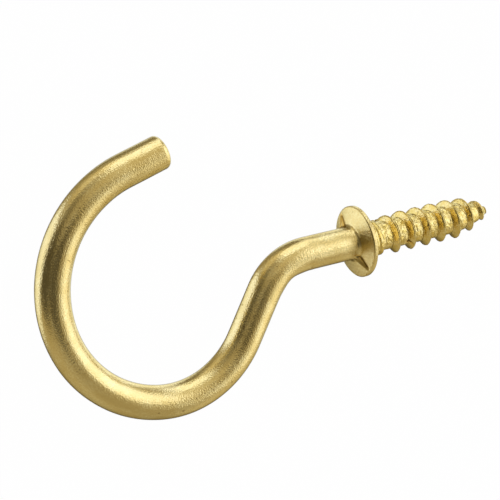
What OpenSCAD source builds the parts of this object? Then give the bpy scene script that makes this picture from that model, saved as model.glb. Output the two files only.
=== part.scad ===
// Shouldered cup hook: one length of round brass wire, upset into a collar near one end,
// rolled with a coarse wood-screw thread and a gimlet point behind the collar, and bent
// in front of it into an open ring whose middle lies near the line of the screw.
//
// Millimetres. The origin is the middle of the collar's seat, the face that meets the wood.
// +X runs towards the screw's tip, +Y towards the ring's free end and +Z up. The hook lies
// on its side, resting on the collar's rim and on the far side of the ring, as it lies loose.

/* [Wire] */
// Diameter of the wire
wire_d = 3.7; // [3:0.1:4.4]
// Straight shank in front of the collar
shank_len = 6.4; // [4:0.1:12]
// Radius of the backward bend, on the wire's centre line
back_r = 6.4; // [5:0.1:9]
// Angle that the wire bends back through
back_angle = 57; // [45:1:68]
// Straight stretch between the backward bend and the ring
link_len = 5.5; // [3:0.1:10]

/* [Ring] */
// Radius of the ring's first, tighter bend, on the centre line
throat_r = 10.3; // [8:0.1:12.5]
// Angle of the tighter bend
throat_angle = 67; // [50:1:80]
// Radius of the rest of the ring, on the centre line
ring_r = 12.8; // [11:0.1:16]
// Angle of the rest of the ring
ring_angle = 155; // [130:1:170]
// Straight stretch at the free end
end_len = 4.8; // [2:0.1:7]
// Radius of the tumbled edge at the free end
end_round = 0.6; // [0.2:0.05:1]

/* [Collar] */
// Diameter of the collar
collar_d = 7.9; // [7:0.1:10]
// Thickness of the collar's rim
rim_t = 0.5; // [0.4:0.05:1.2]
// Bevel on both edges of the rim
rim_bevel = 0.1; // [0.05:0.01:0.18]
// Rise of the collar's front face from the rim to the shank
cone_h = 0.55; // [0.4:0.05:1]
// Radius of the fillet between the front face and the shank
fillet_r = 0.5; // [0.2:0.05:0.8]
// Width of the two parting fins where they meet the shank
fin_w = 1.0; // [0.6:0.05:1.4]
// Height of the fins over the front face at the shank
fin_h = 0.45; // [0.2:0.05:0.8]
// Turn of the fins about the screw's axis, from the plane of the ring
fin_turn = 40; // [0:5:90]

/* [Screw] */
// Outer diameter of the thread
thread_d = 4.5; // [4.2:0.1:5.4]
// Depth that the rolls press the root of the thread below the wire's surface
root_cut = 0.2; // [0.1:0.05:0.4]
// Distance between turns of the thread
pitch = 2; // [1.6:0.1:2.6]
// Length of the screw from the seat to the tip
screw_len = 17; // [12:0.1:24]
// Length of the gimlet point
point_len = 4.2; // [3:0.1:6]
// Length of the boss between the seat and the thread
boss_len = 0.5; // [0.3:0.05:1.2]
// Turn of the thread's start about the screw's axis
thread_turn = 48; // [0:1:359]
// How far the turns stray towards the tip on one side, where the rolls match least
stray = 0.4; // [0:0.05:0.5]

/* [Hidden] */

BRASS = [0.80, 0.66, 0.34];
$fn = 72;
wire_r = wire_d / 2;
collar_r = collar_d / 2;
thread_r = thread_d / 2;
root_r = wire_r - root_cut;

// Directions are angles in the plane of the ring, counted from +X towards +Y.
function ahead(dir, by) = by * [cos(dir), sin(dir)];
function left(dir, by) = by * [-sin(dir), cos(dir)];

// The centre line, from the front of the collar's rim to the free end.
shank_dir = 180;
link_dir = shank_dir + back_angle;
ring_dir = link_dir - throat_angle;
end_dir = ring_dir - ring_angle;
shank_start = [-rim_t, 0];
shank_end = shank_start + ahead(shank_dir, shank_len);
back_mid = shank_end + left(shank_dir, back_r);
link_start = back_mid - left(link_dir, back_r);
link_end = link_start + ahead(link_dir, link_len);
throat_mid = link_end - left(link_dir, throat_r);
ring_start = throat_mid + left(ring_dir, throat_r);
ring_mid = ring_start - left(ring_dir, ring_r);
end_start = ring_mid + left(end_dir, ring_r);

// Tilt at which the rim's front edge and the ring's far side stand on one level surface.
rest_span = ring_r - ring_mid.x - rim_t + rim_bevel;
rest_tilt = acos(wire_r / norm([collar_r, rest_span])) - atan2(rest_span, collar_r);

// Each stretch stops this far short of the next one, and a short band, a hair thicker than
// the wire, joins the two, so that no two curved faces have to meet edge to edge.
joint_gap = 0.04;
joint_len = 0.2;
joint_hair = 0.005;

module joint(at, dir)
    translate([at.x, at.y, 0])
        rotate([0, 90, dir])
            cylinder(h = joint_len, r = wire_r + joint_hair, center = true);

module straight_wire(from, dir, len)
    translate([from.x, from.y, 0])
        rotate([0, 90, dir])
            cylinder(h = len, r = wire_r);

// An arc of wire about mid, from the direction in which its start is seen from there.
module bent_wire(mid, radius, start, turn) {
    short = sign(turn) * joint_gap / radius * 180 / PI;
    translate([mid.x, mid.y, 0])
        rotate(start + short / 2)
            rotate_extrude(angle = turn - short)
                translate([radius, 0])
                    circle(r = wire_r);
}

// The last stretch of wire, cropped square, with its edge tumbled round.
module free_end()
    translate([end_start.x, end_start.y, 0])
        rotate([0, 90, end_dir])
            rotate_extrude()
                union() {
                    square([wire_r, end_len - end_round]);
                    square([wire_r - end_round, end_len]);
                    intersection() {
                        translate([wire_r - end_round, end_len - end_round])
                            circle(r = end_round);
                        square([wire_r, end_len]);
                    }
                }

module hook_wire() {
    joint(shank_end, shank_dir);
    bent_wire(back_mid, back_r, shank_dir - 90, back_angle);
    joint(link_start, link_dir);
    straight_wire(link_start, link_dir, link_len);
    joint(link_end, link_dir);
    bent_wire(throat_mid, throat_r, link_dir + 90, -throat_angle);
    joint(ring_start, ring_dir);
    bent_wire(ring_mid, ring_r, ring_dir + 90, -ring_angle);
    joint(end_start, end_dir);
    free_end();
}

// Half of the section of collar and shank: x is the distance from the axis, y the height
// over the seat.
module collar_section() {
    top = rim_t + cone_h;
    slope = atan2(cone_h, collar_r - rim_bevel - wire_r);
    // The fillet touches the shank and the sloping face, which meet at an open angle.
    reach = fillet_r * tan((90 - slope) / 2);
    difference() {
        polygon([
            [0, 0],
            [collar_r - rim_bevel, 0],
            [collar_r, rim_bevel],
            [collar_r, rim_t - rim_bevel],
            [collar_r - rim_bevel, rim_t],
            [wire_r + reach * cos(slope), top - reach * sin(slope)],
            [wire_r, top + reach],
            [wire_r, rim_t + shank_len],
            [0, rim_t + shank_len],
        ]);
        translate([wire_r + fillet_r, top + reach])
            circle(r = fillet_r);
    }
}

// A fin squeezed up between the two halves of the die: level across, tapering to the rim.
module parting_fin() {
    root = wire_r / 2;
    tip = collar_r - 2 * rim_bevel;
    intersection() {
        rotate([90, 0, 0])
            linear_extrude(fin_w, center = true)
                polygon([
                    [root, rim_t / 2],
                    [tip, rim_t / 2],
                    [tip, rim_t],
                    [wire_r, rim_t + cone_h + fin_h],
                    [root, rim_t + cone_h + fin_h],
                ]);
        linear_extrude(rim_t + cone_h + fin_h)
            polygon([[root, fin_w / 2], [root, -fin_w / 2], [wire_r, -fin_w / 2],
                [tip, -fin_w / 12], [tip, fin_w / 12], [wire_r, fin_w / 2]]);
    }
}

module collar()
    rotate([0, -90, 0]) {
        rotate_extrude()
            collar_section();
        for (side = [0, 180])
            rotate(side + 90 + fin_turn)
                parting_fin();
    }

// The boss behind the seat, left by the dies that gripped the blank. Its two radii are given
// as shares of the ridge's height, and it is thicker there than the first turns, so that the
// seat's inner edge is clear of them.
boss_near = 0.8;
boss_far = 0.55;

module boss()
    rotate([0, 90, 0])
        cylinder(h = boss_len, r1 = root_r + boss_near * (thread_r - root_r),
            r2 = root_r + boss_far * (thread_r - root_r));

// The thread is one strip that winds to the tip, a pitch wide, so that each turn's far edge
// is the next turn's near edge. Its first turn lies inside the collar and the shank.
STEPS = 32;
thread_from = -0.9 * pitch;
// The ridge swells out of the core slowly, over this stretch counted in turns.
swell_from = -0.7;
swell_turns = 3.4;
// The turns keep their pitch until half a pitch from the tip, and then close up on it.
steady_turns = (screw_len - thread_from) / pitch - 0.5;
last = floor(STEPS * (steady_turns + 0.5));
// Places across the strip, as shares of the pitch: the root, then a ridge half a pitch wide.
ridge_from = 0.25;
ridge_width = 0.5;
across = concat([0], [for (i = [0 : 6]) ridge_from + ridge_width * i / 6]);

function ridge(share) =
    share < ridge_from || share > ridge_from + ridge_width ? 0
    : (1 - cos(360 * (share - ridge_from) / ridge_width)) / 2;
// Distance from the seat after so many turns: steady at first, then closing on the tip.
function advance(turns) =
    turns < steady_turns ? thread_from + pitch * turns
    : screw_len - pitch / 2 * exp(2 * (steady_turns - turns));
function swell(turns) = min(1, max(0, (turns - swell_from) / swell_turns));
// The point is rounded like a bullet's, and the thread shrinks with the core.
function taper(x) = sqrt(min(1, (screw_len - x) / point_len));
// The turns stray on the side that faces this way about the axis, and settle before the tip.
stray_turn = 74;
stray_settles = 1.2;
function strayed(x, turn) =
    x + stray * min(1, (screw_len - x) / stray_settles) * pow((1 + cos(turn - stray_turn)) / 2, 2);
function thread_point(i, share) =
    let (
        turns = i / STEPS,
        x = advance(turns + share),
        height = (thread_r - root_r) * ridge(share) * swell(turns),
        r = (root_r + height) * taper(x),
        turn = 360 * turns + thread_turn
    )
    [r * cos(turn), r * sin(turn), strayed(x, turn)];

module thread() {
    wide = len(across);
    strip = [for (i = [0 : last]) for (share = across) thread_point(i, share)];
    // One more turn of root points closes the far edge of the last turn.
    edge = [for (i = [last + 1 : last + STEPS]) thread_point(i, 0)];
    base_mid = len(strip) + len(edge);
    tip_mid = base_mid + 1;
    points = concat(strip, edge, [[0, 0, thread_from], [0, 0, screw_len]]);
    function at(i, j) =
        j == wide ? at(i + STEPS, 0) : i > last ? len(strip) + i - last - 1 : i * wide + j;
    sides = [
        for (i = [0 : last - 1]) for (j = [0 : wide - 1])
            each [
                [at(i, j), at(i, j + 1), at(i + 1, j + 1)],
                [at(i, j), at(i + 1, j + 1), at(i + 1, j)],
            ]
    ];
    base = concat(
        [for (i = [0 : STEPS - 1]) [base_mid, at(i, 0), at(i + 1, 0)]],
        [for (j = [0 : wide - 1]) [base_mid, at(0, j + 1), at(0, j)]]
    );
    tip = concat(
        [for (i = [last : last + STEPS - 1]) [tip_mid, at(i + 1, 0), at(i, 0)]],
        [for (j = [0 : wide - 1]) [tip_mid, at(last, j), at(last, j + 1)]]
    );
    rotate([0, 90, 0])
        polyhedron(points, concat(sides, base, tip));
}

module cup_hook()
    color(BRASS)
        rotate([0, -rest_tilt, 0]) {
            hook_wire();
            collar();
            boss();
            thread();
        }

cup_hook();
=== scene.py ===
# A shouldered brass cup hook, lying loose on a pale surface: one length of round wire that is
# upset into a collar, rolled with a wood-screw thread behind it and bent into an open ring in
# front of it. Sizes are in millimetres until the points go into the mesh.
import math
import bpy
from mathutils import Matrix, Vector, noise


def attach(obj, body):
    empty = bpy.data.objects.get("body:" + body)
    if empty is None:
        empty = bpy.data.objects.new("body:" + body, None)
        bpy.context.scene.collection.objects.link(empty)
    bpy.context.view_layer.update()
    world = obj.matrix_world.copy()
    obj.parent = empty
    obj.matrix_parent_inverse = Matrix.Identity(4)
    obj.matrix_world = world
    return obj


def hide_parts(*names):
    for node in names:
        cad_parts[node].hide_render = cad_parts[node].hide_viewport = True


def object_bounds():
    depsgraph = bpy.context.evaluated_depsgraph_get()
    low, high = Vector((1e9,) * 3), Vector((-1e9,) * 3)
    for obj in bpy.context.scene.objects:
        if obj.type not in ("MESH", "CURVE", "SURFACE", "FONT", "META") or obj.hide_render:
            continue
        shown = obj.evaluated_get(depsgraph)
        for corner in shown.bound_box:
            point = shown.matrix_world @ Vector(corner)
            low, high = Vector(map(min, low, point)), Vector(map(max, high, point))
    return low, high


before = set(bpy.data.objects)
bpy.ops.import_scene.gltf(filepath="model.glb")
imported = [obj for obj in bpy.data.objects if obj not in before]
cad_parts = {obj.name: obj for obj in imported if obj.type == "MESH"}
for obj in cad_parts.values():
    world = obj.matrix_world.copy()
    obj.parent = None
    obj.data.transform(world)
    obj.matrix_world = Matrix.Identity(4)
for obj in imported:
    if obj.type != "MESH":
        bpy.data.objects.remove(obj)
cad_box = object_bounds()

# The camera stands over the free end of the ring, about 200 mm from the hook, and is turned
# about its line of sight so that the screw rises to the right.
camera_data = bpy.data.cameras.new("camera")
camera_data.sensor_width = 36
camera_data.lens = 133.85
camera_data.clip_start = 0.01
camera_data.clip_end = 10
camera = bpy.data.objects.new("camera", camera_data)
camera_right = Vector((0.839615, -0.104908, 0.532955))
camera_up = Vector((0.212618, 0.966356, -0.144738))
camera_back = camera_right.cross(camera_up)
camera.matrix_world = Matrix.Translation((-0.111646, 0.047954, 0.163048)) @ Matrix(
    (camera_right, camera_up, camera_back)).transposed().to_4x4()
bpy.context.collection.objects.link(camera)
bpy.context.scene.camera = camera
bpy.context.scene.view_settings.view_transform = "Standard"


# The pale sheet of paper that the hook lies on is lit to white behind it, and takes its faint
# shadow. The metal sees through it into the room, which is lit like the sheet in patches there.
floor_z = cad_box[0].z
floor_mesh = bpy.data.meshes.new("floor")
floor_mesh.from_pydata([(-2, -2, floor_z), (2, -2, floor_z), (2, 2, floor_z), (-2, 2, floor_z)],
                       [], [(0, 1, 2, 3)])
floor = bpy.data.objects.new("floor", floor_mesh)
bpy.context.collection.objects.link(floor)


class Value:
    """A socket of a shader node that takes part in sums; each sum adds its own node."""

    def __init__(self, tree, socket=None):
        self.tree = tree
        self.socket = socket

    def node(self, kind, settings, values, output=0):
        """A new node: its settings come first, then the values or links of its sockets."""
        made = self.tree.nodes.new(kind)
        for name, setting in settings.items():
            setattr(made, name, setting)
        for name, value in values.items():
            if isinstance(value, Value):
                self.tree.links.new(value.socket, made.inputs[name])
            else:
                made.inputs[name].default_value = value
        return Value(self.tree, made.outputs[output] if made.outputs else None)

    def math(self, operation, *numbers):
        return self.node("ShaderNodeMath", {"operation": operation}, dict(enumerate(numbers)))

    def __add__(self, other): return self.math("ADD", self, other)
    def __radd__(self, other): return self.math("ADD", other, self)
    def __sub__(self, other): return self.math("SUBTRACT", self, other)
    def __rsub__(self, other): return self.math("SUBTRACT", other, self)
    def __mul__(self, other): return self.math("MULTIPLY", self, other)
    def __rmul__(self, other): return self.math("MULTIPLY", other, self)
    def __or__(self, other): return self.math("MAXIMUM", self, other)

    def step(self, low, high):
        """0 up to low, 1 from high on, and smooth between them."""
        return self.node("ShaderNodeMapRange", {"interpolation_type": "SMOOTHSTEP"},
                         {"Value": self, "From Min": low, "From Max": high})

    def mix(self, first, second):
        """The first colour where this is 0 and the second where it is 1."""
        return self.node("ShaderNodeMix", {"data_type": "RGBA"},
                         {0: self, 6: first, 7: second}, output=2)


sheet = bpy.data.materials.new("pale_sheet")
sheet.use_nodes = True
sheet.node_tree.nodes.clear()
make = Value(sheet.node_tree)
white_share = 0.99
by_camera = make.node("ShaderNodeLightPath", {}, {}, output="Is Camera Ray")
by_mirror = (make.node("ShaderNodeLightPath", {}, {}, output="Is Glossy Ray")
             | make.node("ShaderNodeLightPath", {}, {}, output="Is Transmission Ray"))
paper = make.node("ShaderNodeBsdfDiffuse", {}, {"Color": (0.9, 0.9, 0.9, 1)})
white = make.node("ShaderNodeEmission", {}, {"Color": (1, 1, 1, 1), "Strength": 1})
seen = make.node("ShaderNodeMixShader", {}, {0: by_camera * white_share, 1: paper, 2: white})
clear = make.node("ShaderNodeBsdfTransparent", {}, {})
surface = make.node("ShaderNodeMixShader", {}, {0: by_mirror, 1: seen, 2: clear})
make.node("ShaderNodeOutputMaterial", {}, {"Surface": surface})
floor_mesh.materials.append(sheet)


# The room that the brass mirrors. Its walls are dim and warm, and over the sheet stand two soft
# boxes: a large one beyond the screw, and a smaller one on the side of the ring's free end.
def aimed(azimuth, elevation):
    """The direction from the hook at these angles, the azimuth from +X towards +Y."""
    a, e = math.radians(azimuth), math.radians(elevation)
    return Vector((math.cos(a) * math.cos(e), math.sin(a) * math.cos(e), math.sin(e)))


room = bpy.data.worlds.new("room")
bpy.context.scene.world = room
room.use_nodes = True
room.node_tree.nodes.clear()
make = Value(room.node_tree)
seen_from_hook = make.node("ShaderNodeTexCoord", {}, {}, output="Generated")


def patch(azimuth, elevation, core, rim):
    """1 within core degrees of this direction, nothing beyond rim degrees, smooth between."""
    near = make.node("ShaderNodeVectorMath", {"operation": "DOT_PRODUCT"},
                     {0: seen_from_hook, 1: tuple(aimed(azimuth, elevation))}, output="Value")
    return near.step(math.cos(math.radians(rim)), math.cos(math.radians(core)))


wall_light, sheet_light = 0.37, 1.25
wall_tint, sheet_tint = (1.10, 0.97, 0.72, 1), (0.95, 1.01, 1.24, 1)
# Dark round the camera, overhead and in one low corner, and dim behind the hook.
dark = (patch(-168, 66, 17, 30) | patch(170, 17, 21, 39) | 0.6 * patch(134, 16, 8, 24)
        | 0.65 * patch(-110, 82, 8, 18) | 0.5 * patch(74, -38, 8, 25))
behind = patch(-55, -62, 10, 27)
# The large box is hottest off its middle, and the walls glow softly round both boxes.
glow = 0.6 * patch(15, 32, 13, 38)
walls = (wall_light * (1 - 0.78 * dark - 0.4 * behind) + 0.2 * patch(72, 50, 8, 32)
         + 0.28 * patch(104, -14, 8, 26) + 0.07 * patch(-125, -15, 20, 50)
         + 0.22 * patch(-38, 2, 16, 38) + 0.18 * patch(-30, 36, 6, 22)
         + 0.27 * patch(10, 64, 6, 14) + glow)
# The lit sheet, under the screw and beside it, and out in front of the ring.
below = (1.3 * patch(6, -45, 28, 40) | 0.8 * patch(-8, -12, 16, 28)
         | 0.85 * patch(58, -12, 8, 18) | patch(164, -46, 25, 33) | patch(148, -18, 6, 14)
         | patch(176, -54, 26, 34))
room_colour = (below | 1.6 * glow).mix(wall_tint, sheet_tint)
room_light = walls | sheet_light * below * (1 - behind)
# To the camera the room beyond the sheet is white, like the sheet.
to_camera = make.node("ShaderNodeLightPath", {}, {}, output="Is Camera Ray")
shade = make.node("ShaderNodeBackground", {}, {
    "Color": to_camera.mix(room_colour, (1, 1, 1, 1)),
    "Strength": room_light + to_camera * (1 - room_light),
})
make.node("ShaderNodeOutputWorld", {}, {"Surface": shade})

box_away = 0.6
box_tint = (0.93, 1.02, 1.24)


def soft_box(name, azimuth, elevation, width, height, radiance):
    """A lamp that faces the hook; width and height are the angles it fills, in degrees."""
    data = bpy.data.lights.new(name, "AREA")
    data.shape = "RECTANGLE"
    data.size = 2 * box_away * math.tan(math.radians(width / 2))
    data.size_y = 2 * box_away * math.tan(math.radians(height / 2))
    data.energy = radiance * math.pi * data.size * data.size_y
    data.color = box_tint
    lamp = bpy.data.objects.new(name, data)
    lamp.location = aimed(azimuth, elevation) * box_away
    lamp.rotation_mode = "QUATERNION"
    lamp.rotation_quaternion = aimed(azimuth, elevation).to_track_quat("Z", "Y")
    bpy.context.collection.objects.link(lamp)


soft_box("main_box", 3, 32, 79, 74, 0.5)
soft_box("side_box", 80, 10, 40, 44, 0.92)


# The bent wire: drawn brass, cropped, and bent cold round pegs when the collar and the thread
# are made. Its centre line lies in one plane and runs from the collar through the shank, the
# backward bend and the link, and then round the ring, tighter at first, to the cropped end.
wire_r, rim_t = 1.85, 0.5
shank_len = 6.4
back_r, back_angle = 6.4, 57
link_len = 5.5
throat_r, throat_angle = 10.3, 67
ring_r, ring_angle = 12.8, 155
end_len = 4.8
station_gap = 0.36


def heading(degrees):
    """The direction in the wire's plane at this angle from +X towards +Y."""
    return Vector((math.cos(math.radians(degrees)), math.sin(math.radians(degrees)), 0))


def straight(here, way, length):
    """Stations along a straight stretch: (place, way, distance)."""
    count = round(length / station_gap)
    return [(here + heading(way) * (length * i / count), way, length * i / count)
            for i in range(1, count + 1)]


def bent(here, way, radius, angle):
    """Stations along a bend, which goes to the left where the angle is positive."""
    side = way + math.copysign(90, angle)
    middle = here + heading(side) * radius
    length = radius * math.radians(abs(angle))
    count = round(length / station_gap)
    return [(middle - heading(side + angle * i / count) * radius,
             way + angle * i / count, length * i / count) for i in range(1, count + 1)]


route = [(Vector((-rim_t, 0, 0)), 180, rim_t)]
for lay, *sizes in ((straight, shank_len), (bent, back_r, back_angle), (straight, link_len),
                    (bent, throat_r, -throat_angle), (bent, ring_r, -ring_angle),
                    (straight, end_len)):
    here, way, gone = route[-1]
    route += [(place, facing, gone + far) for place, facing, far in lay(here, way, *sizes)]
end_place, end_way, wire_len = route[-1]

# The skin of the whole hook is laid in rings, from the free end to the tip of the screw. A ring
# is (middle, way towards the screw, distance from the seat along the unbent wire, number of
# points, shape). Its shape gives, for an angle round the wire, how far out and how far ahead of
# the middle the skin is, and how much stain and painted light it carries. The angle goes from +Y
# over +Z where the way is +X.
rings = []
wire_points = 96


def round_at(radius, ahead=0):
    """The same all round, and clean."""
    return lambda degrees: (radius, ahead, 0)


# The cropped end is square, and its edge is tumbled round. Drawn wire is a hair uneven, and the
# end has its mean thickness.
wire_play = 0.012
end_round, end_r = 0.6, wire_r - wire_play
edge_rings = 10
for share in (0.15, 0.35, 0.55, 0.75, 0.9):
    rings.append((end_place, end_way + 180, -wire_len, wire_points,
                  round_at(share * (end_r - end_round))))
for i in range(edge_rings + 1):
    a = math.pi / 2 * i / edge_rings
    rings.append((end_place, end_way + 180, -wire_len, wire_points,
                  round_at(end_r - end_round + end_round * math.sin(a),
                           end_round * (1 - math.cos(a)))))

# The peg of the backward bend has pressed a flat on its inside, and the brass has swollen a
# little on both sides of the flat.
flat_at = -(rim_t + shank_len + back_r * math.radians(back_angle) / 2)
flat_depth, flat_reach, flat_spread = 0.13, 1.1, 45
swelling, swollen_at = 0.05, 2.1


def bell(x):
    """1 at 0, falling away on both sides to next to nothing at 2."""
    return math.exp(-x * x)


def drawn(along):
    """The wire's own shape at this place along it."""
    def shape(degrees):
        a = math.radians(degrees)
        uneven = noise.noise(Vector((along * 0.25, math.cos(a), math.sin(a))))
        off = (along - flat_at) / flat_reach
        inside = bell((degrees - 180) / flat_spread)
        pressed = inside * (flat_depth * bell(off) - swelling * bell(abs(off) - swollen_at))
        return wire_r - wire_play * (1 + uneven) - pressed, 0, 0
    return shape


# The collar: the blank is gripped in split dies and upset, which leaves a thin rim, a sloping
# front with a fillet against the shank, and a fin of squeezed brass at each parting of the dies.
# Beside each fin the brass is folded in, and the folds are darkened with painted shade.
collar_r, rim_bevel = 3.95, 0.1
cone_h, fillet_r = 0.55, 0.5
fin_w, fin_h = 1.15, 0.56
fin_narrows = 0.75
fins = ((320, 1), (140, -1))
# The folds are dented in, and fold_shade sets how strongly they are darkened with painted shade.
fold_depth, fold_shade = 0.16, 1.5
collar_points = 288
fillet_rings, cone_rings, rim_rings, bevel_rings = 12, 23, 6, 6
slope = math.atan2(cone_h, collar_r - rim_bevel - wire_r)
front_foot = -rim_t - cone_h - fillet_r * math.tan((math.pi / 2 - slope) / 2)

for place, way, gone in reversed(route[:-1]):
    if end_round + 0.1 < wire_len - gone and -gone < front_foot - 0.15:
        rings.append((place, way + 180, -gone, wire_points, drawn(-gone)))

profile = []
for i in range(1, fillet_rings + 1):
    a = (math.pi / 2 - slope) * i / fillet_rings
    profile.append((front_foot + fillet_r * math.sin(a), wire_r + fillet_r * (1 - math.cos(a))))
fillet_x, fillet_out = profile[-1]
for i in range(1, cone_rings):
    profile.append((fillet_x + (-rim_t - fillet_x) * i / cone_rings,
                    fillet_out + (collar_r - rim_bevel - fillet_out) * i / cone_rings))
for share in (0, 0.1, 0.3, 0.5, 0.7, 0.9, 1):
    profile.append((-rim_t + rim_bevel * share, collar_r - rim_bevel * (1 - share)))
for i in range(1, rim_rings):
    profile.append((-rim_t + rim_bevel + (rim_t - 2 * rim_bevel) * i / rim_rings, collar_r))
for i in range(bevel_rings + 1):
    a = math.pi / 2 * i / bevel_rings
    profile.append((-rim_bevel * (1 - math.sin(a)), collar_r - rim_bevel * (1 - math.cos(a))))


def turned(degrees, middle):
    """How far an angle is turned from the middle one, from -180 to 180 degrees."""
    return (degrees - middle + 180) % 360 - 180


def kept_in(share):
    """The share, held between 0 and 1."""
    return min(1, max(0, share))


def fin_here(out, degrees):
    """How far a parting fin stands over the collar's front, and the painted shade in its folds.
    """
    far = (out - wire_r) / (collar_r - 2 * rim_bevel - wire_r)
    rise = shade_and_stain_brown = 0
    for middle, fold_side in fins:
        aside = out * math.radians(turned(degrees, middle))
        if far < 1 and abs(aside) < fin_w:
            half = fin_w / 2 * (1 - fin_narrows * max(0, far))
            across = max(0, 1 - abs(aside) / half)
            rise += fin_h * min(1, 1 - far) ** 0.6 * across ** 0.8
            # A deep fold lies near the fin's foot, and a shallow one on its flank.
            fold = bell((aside - 0.8 * fold_side * half) / 0.11) + 0.6 * bell(
                (aside - 0.25 * fold_side * half) / 0.07)
            fold *= min(1, 4 * (1 - far)) * kept_in(3 * far + 0.6)
            rise -= fold_depth * fold
            # The folds are coloured dark brown: painted shade where the creases fall in shadow.
            shade_and_stain_brown += fold_shade * fold
    return rise, shade_and_stain_brown


def with_fins(out):
    """The collar's front at this distance from the wire's middle."""
    def shape(degrees):
        rise, shade_and_stain_brown = fin_here(out, degrees)
        return out, -rise, shade_and_stain_brown
    return shape


for x, out in profile:
    rings.append((Vector((x, 0, 0)), 0, x, collar_points,
                  with_fins(out) if x < -rim_t else round_at(out)))

# The screw: the thread is rolled, not cut. The dies press the root under the wire's surface and
# squeeze the ridge up, so the root is gritty, the crest is round, and the turns stray a little
# on the side where the dies match least. A gimlet point closes it.
thread_r, root_r, pitch = 2.25, 1.65, 2.0
screw_len, point_len = 17.0, 4.2
boss_near = 0.8
thread_from, thread_turn = -0.9 * pitch, 48
swell_from, swell_turns = -0.7, 3.4
stray, stray_turn, stray_settles = 0.4, 74, 1.2
ridge_from, ridge_width = 0.25, 0.5
parting_turns = 0.07
# The painted amber reflection on the flanks: the side it faces, its spread and its strength.
amber_side, amber_spread, flank_reflection = 65, 60, 1.1
lap_x, lap_turn, lap_depth = 5.6, 130, 0.3
lap_reach, lap_width, lap_curve = 0.42, 0.14, 5
root_grit, crest_grit = 0.038, 0.024
screw_points, screw_rings = 144, 360
steady_turns = (screw_len - thread_from) / pitch - 0.5


def wound(short):
    """Turns that the thread has made at this distance short of the tip, where it closes up."""
    if short > pitch / 2:
        return (screw_len - short - thread_from) / pitch
    return steady_turns + 0.5 * math.log(pitch / 2 / max(short, 1e-4))


def threaded(x):
    """The screw's shape at this distance behind the collar's seat."""
    def shape(degrees):
        # The collar's angle and the thread's turn are a quarter turn apart.
        turn = degrees + 90
        astray = stray * ((1 + math.cos(math.radians(turn - stray_turn))) / 2) ** 2
        short = screw_len - x
        short = max(short + astray if short + astray > stray_settles
                    else short / (1 - astray / stray_settles), 0)
        turns = wound(short)
        share = (turns - (turn - thread_turn) / 360) % 1
        crest = (share - ridge_from) / ridge_width
        ridge = (1 - math.cos(2 * math.pi * crest)) / 2 if 0 < crest < 1 else 0
        swell = kept_in((turns - share - swell_from) / swell_turns)
        height = ridge * swell
        # The flank on the collar's side is painted amber, most of all round one side of the
        # screw: a painted reflection of the warm light that the flanks throw on each other.
        flank = 3 * height * (1 - height) ** 2 if 0 < crest < 0.5 else 0
        flank *= flank_reflection * bell(turned(degrees, amber_side) / amber_spread)
        # The first turn hasn't parted from the boss: up to its crest the two are one roll.
        first_crest = 1.5 + (turn - thread_turn) % 360 / 360
        if turns < first_crest:
            far = x / (thread_from + pitch * first_crest)
            height = boss_near + (swell - boss_near) * far + 0.1 * far * (1 - far)
            flank = 0
        elif turns < first_crest + ridge_width / 2:
            height *= bell((turns - first_crest) / parting_turns)
        # The brass that was squeezed up folds over a little at the foot and on the crest.
        height -= 0.2 * bell((crest - 0.03) / 0.07) + 0.1 * bell((crest - 0.58) / 0.06)
        out = root_r + (thread_r - root_r) * height
        # A lap on the third turn, where a burr was rolled in.
        off = (x - lap_x) / lap_reach
        lapped = bell(off * off) * bell(
            math.radians(degrees - lap_turn - lap_curve * off * off) * root_r / lap_width)
        out -= lap_depth * lapped
        out *= math.sqrt(min(1, short / point_len))
        a = math.radians(degrees)
        grit = noise.fractal(Vector((x, out * math.cos(a), out * math.sin(a))) * 2.6, 0.5, 2, 4)
        depth = root_grit - (root_grit - crest_grit) * kept_in(height)
        blotch = noise.noise(Vector((x, math.cos(a) * 2, math.sin(a) * 2)) * 1.1)
        # The mark holds the painted amber reflection on the flank, random stains that grow
        # towards the crests, and the dark lap.
        stain_and_painted_light = max(flank, 1.3 * height * kept_in(blotch), 2 * lapped)
        return out - min(1, out) * depth * (1 + max(-1, min(1, grit))), 0, stain_and_painted_light
    return shape


# The flat seat runs in from the rim to the boss, and the first turn grows out of the boss. The
# screw's rings stand closer together towards the tip.
boss_r = root_r + (thread_r - root_r) * boss_near
seat_rings = 9
crowding = 1.12
for i in range(1, seat_rings):
    out = collar_r - rim_bevel + (boss_r - collar_r + rim_bevel) * i / seat_rings
    rings.append((Vector((0, 0, 0)), 0, 0, collar_points, round_at(out)))
for i in range(screw_rings):
    x = screw_len * (1 - (1 - i / screw_rings) ** crowding)
    rings.append((Vector((x, 0, 0)), 0, x, screw_points, threaded(x)))

# The rings become one closed skin. The hook lies on the collar's rim and the far side of the
# ring, and every point also keeps its place on the unbent wire, for the metal's grain.
ring_mid = end_place - heading(end_way) * end_len + heading(end_way - 90) * ring_r
rest_span = ring_r - ring_mid.x - rim_t + rim_bevel
rest_tilt = math.acos(wire_r / math.hypot(collar_r, rest_span)) - math.atan2(rest_span, collar_r)
rest = Matrix.Rotation(-rest_tilt, 3, "Y")
points, unbent, stains_and_painted_light, faces = [], [], [], []
end_hub, tip_hub = 0, 1
for hub_place, along in ((end_place, -wire_len), (Vector((screw_len, 0, 0)), screw_len)):
    points.append(rest @ hub_place / 1000)
    unbent.append((along, 0, 0))
    stains_and_painted_light.append(0)
starts = []
for middle, way, along, count, shape in rings:
    starts.append((len(points), count))
    for i in range(count):
        a = 2 * math.pi * i / count
        out, ahead, stain_and_painted_light = shape(360 * i / count)
        outward = heading(way + 90) * math.cos(a) + Vector((0, 0, math.sin(a)))
        points.append(rest @ (middle + heading(way) * ahead + outward * out) / 1000)
        unbent.append((along + ahead, out * math.cos(a), out * math.sin(a)))
        stains_and_painted_light.append(stain_and_painted_light)
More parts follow.
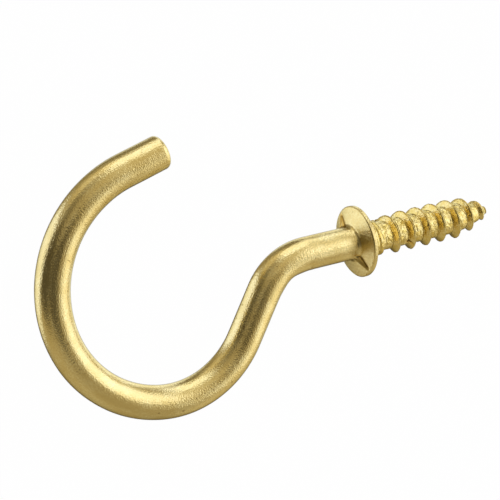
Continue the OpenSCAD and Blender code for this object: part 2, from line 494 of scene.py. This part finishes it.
for (near, near_count), (ahead, ahead_count) in zip(starts, starts[1:]):
    if near_count == ahead_count:
        for i in range(near_count):
            k = (i + 1) % near_count
            faces.append((near + i, near + k, ahead + k, ahead + i))
        continue
    # Where the counts differ, triangles go round the gap, from the ring that has fallen behind.
    i = j = 0
    while i < near_count or j < ahead_count:
        if j == ahead_count or (i + 1) * ahead_count <= (j + 1) * near_count:
            faces.append((near + i % near_count, near + (i + 1) % near_count,
                          ahead + j % ahead_count))
            i += 1
        else:
            faces.append((near + i % near_count, ahead + (j + 1) % ahead_count,
                          ahead + j % ahead_count))
            j += 1
for hub, (start, count), turn in ((end_hub, starts[0], -1), (tip_hub, starts[-1], 1)):
    for i in range(count):
        corner = start + i, start + (i + 1) % count
        faces.append((hub, *corner[::-turn]))

mesh = bpy.data.meshes.new("cup_hook_wire")
mesh.from_pydata([tuple(p) for p in points], [], faces)
for polygon in mesh.polygons:
    polygon.use_smooth = True
where = mesh.attributes.new("unbent", "FLOAT_VECTOR", "POINT")
where.data.foreach_set("vector", [c for p in unbent for c in p])
mesh.attributes.new("stains_and_painted_light", "FLOAT", "POINT").data.foreach_set("value", stains_and_painted_light)
hook = bpy.data.objects.new("cup_hook_wire", mesh)
bpy.context.collection.objects.link(hook)

# The finish: bright brass, tumbled but not polished, with a fine grain, faint lines along the
# wire from the drawing, and a few tiny pits. The thread and the collar's front are yellower than
# the wire, and the shank has dull marks of the dies that gripped it. Painted shade darkens the
# folds beside the collar's fins, and a painted amber reflection lies on the thread's flanks.
brass = bpy.data.materials.new("brass")
brass.use_nodes = True
brass.node_tree.nodes.clear()
make = Value(brass.node_tree)
spot = make.node("ShaderNodeAttribute", {"attribute_name": "unbent"}, {}, output="Vector")


def grain(per_mm, along=1, detail=3, rough=0.5):
    """Noise with about so many specks to the millimetre, drawn out where along is small."""
    placed = make.node("ShaderNodeVectorMath", {"operation": "MULTIPLY"},
                       {0: spot, 1: (along, 1, 1)}, output="Vector")
    return make.node("ShaderNodeTexNoise", {}, {
        "Vector": placed, "Scale": per_mm, "Detail": detail, "Roughness": rough})


specks, bumps, coarse, lines = grain(8, 0.8), grain(7, 0.9, 1), grain(2.6, 0.7), grain(3.2, 0.1)
# Stains and painted light on the skin: painted shade in the collar's folds, a painted amber
# reflection on the thread's flanks, and stains on the crests and in the lap.
stain_and_painted_light = make.node("ShaderNodeAttribute", {"attribute_name": "stains_and_painted_light"}, {}, output="Fac")
place = make.node("ShaderNodeSeparateXYZ", {}, {"Vector": spot}, output="X")
drawn_tone = grain(0.9, 0.5).step(0.35, 0.65).mix((0.95, 0.81, 0.39, 1), (0.84, 0.67, 0.27, 1))
rolled_tone = grain(2).step(0.4, 0.62).mix((0.94, 0.79, 0.33, 1), (0.82, 0.62, 0.15, 1))
# The collar's front is the skin that is farther out than the wire, in front of the rim.
across = make.node("ShaderNodeVectorMath", {"operation": "MULTIPLY"}, {0: spot, 1: (0, 1, 1)})
out = make.node("ShaderNodeVectorMath", {"operation": "LENGTH"}, {0: across}, output="Value")
face = out.step(1.9, 2.3) * place.step(-0.3, -0.5)
face_tone = grain(4.5).step(0.35, 0.65).mix((1, 0.84, 0.35, 1), (0.88, 0.66, 0.22, 1))
clean = (0.7 * face).mix(place.step(0.3, 0.6).mix(drawn_tone, rolled_tone), face_tone)
speckled = (0.7 * specks.step(0.62, 0.38)).mix(clean, (0.79, 0.62, 0.24, 1))
pits = grain(1.9, 1, 0).step(0.8, 0.85)
# The dies gripped the shank from the backward bend to the collar's foot.
gripped = place.step(-9, -5.5) * place.step(-1, -1.3)
marks = grain(3.4, 0.45, 1).step(0.54, 0.7) * gripped
pitted = (0.5 * pits | 0.12 * marks).mix(speckled, (0.35, 0.24, 0.07, 1))
# Amber is a painted reflection on the thread's flanks and a stain on its crests. The dark brown
# is painted shade in the collar's folds, and also colours the lap and the heaviest stains.
amber, shade_and_stain_brown = (0.84, 0.55, 0.12, 1), (0.22, 0.14, 0.04, 1)
colour = stain_and_painted_light.step(1, 1.6).mix((0.72 * stain_and_painted_light).mix(pitted, amber), shade_and_stain_brown)
height = bumps * 0.4 + coarse * 0.12 + lines * 0.4
dents = make.node("ShaderNodeBump", {}, {"Height": height, "Strength": 0.8, "Distance": 0.00008})
surface = make.node("ShaderNodeBsdfPrincipled", {}, {
    "Base Color": colour,
    "Metallic": 1,
    "Roughness": 0.17 + 0.06 * specks + 0.13 * face,
    "Normal": dents,
    "Specular Tint": (0.42, 0.42, 0.40, 1),
})
make.node("ShaderNodeOutputMaterial", {}, {"Surface": surface})
mesh.materials.append(brass)
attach(hook, "root")
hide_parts("cup_hook")
